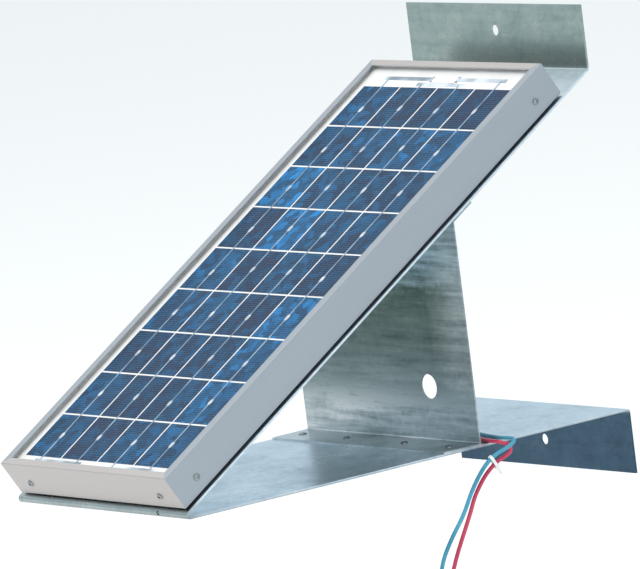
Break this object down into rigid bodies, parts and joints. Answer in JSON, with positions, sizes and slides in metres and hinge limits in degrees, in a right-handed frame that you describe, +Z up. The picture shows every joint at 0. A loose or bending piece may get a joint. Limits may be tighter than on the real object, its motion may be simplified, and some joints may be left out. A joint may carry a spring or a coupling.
{
  "type": "wall bracket solar panel",
  "caption": "Small framed solar panel for an electric-fence energizer, on a folded wall bracket with an inner upright and two leads.",
  "frame": {"origin": "midway between the two wall holes, on the wall plane", "axes": "+Y out of the back towards the wall, +Z up, +X across the width"},
  "size_m": [0.2758, 0.5019, 0.5669],
  "materials": {
    "galvanised_sheet": "satin",
    "frame_aluminium": "satin anodised",
    "key_aluminium": "mill",
    "rivet_steel": "dull",
    "screw_steel": "bright zinc",
    "bolt_steel": "bright zinc",
    "clear_glass": "gloss",
    "blue_cells": "crystalline",
    "tinned_ribbon": "soft",
    "white_film": "satin",
    "white_sheet": "satin",
    "clear_seal": "matt",
    "black_plastic": "fine texture",
    "black_rubber": "matt",
    "pin_steel": "bright",
    "grey_plastic": "gloss",
    "clamp_brass": "bright",
    "diode_black": "gloss",
    "red_sleeving": "satin",
    "blue_sleeving": "satin",
    "white_nylon": "satin",
    "coil_sleeving": "satin"
  },
  "bodies": {
    "root": {"bracket_sheet": "galvanised_sheet", "support_upright": "galvanised_sheet", "foot_rivets": "rivet_steel", "head_rivets": "rivet_steel", "frame_left_rail": "frame_aluminium", "frame_right_rail": "frame_aluminium", "frame_bottom_rail": "frame_aluminium", "frame_top_rail": "frame_aluminium", "corner_keys": "key_aluminium", "frame_screws": "screw_steel", "front_glass": "clear_glass", "solar_cells": "blue_cells", "cell_ribbons": "tinned_ribbon", "bus_ribbons": "tinned_ribbon", "rear_encapsulant": "white_film", "backsheet": "white_sheet", "edge_seal": "clear_seal", "junction_box": "black_plastic", "lid_seal": "black_rubber", "lid_hinge_pin": "pin_steel", "terminal_block": "grey_plastic", "terminal_screws": "clamp_brass", "bypass_diode": "diode_black", "lead_bushes": "black_rubber", "panel_bolts": "bolt_steel", "panel_washers": "bolt_steel", "panel_nuts": "bolt_steel", "panel_spacers": "black_rubber", "lead_cores": "tinned_ribbon", "red_lead": "red_sleeving", "blue_lead": "blue_sleeving", "lead_tie": "white_nylon", "lead_coil": "coil_sleeving", "coil_tie": "white_nylon", "red_sleeve": "red_sleeving", "red_eyelet": "tinned_ribbon", "blue_sleeve": "blue_sleeving", "blue_eyelet": "tinned_ribbon"},
    "lid": {"junction_lid": "black_plastic"}
  },
  "joints": [
    {"name": "junction_lid_hinge", "type": "hinge", "parent": "root", "child": "lid", "pos_m": [0, -0.06064, 0.1347], "axis": [1, 0, 0], "range_deg": [0, 85]}
  ]
}
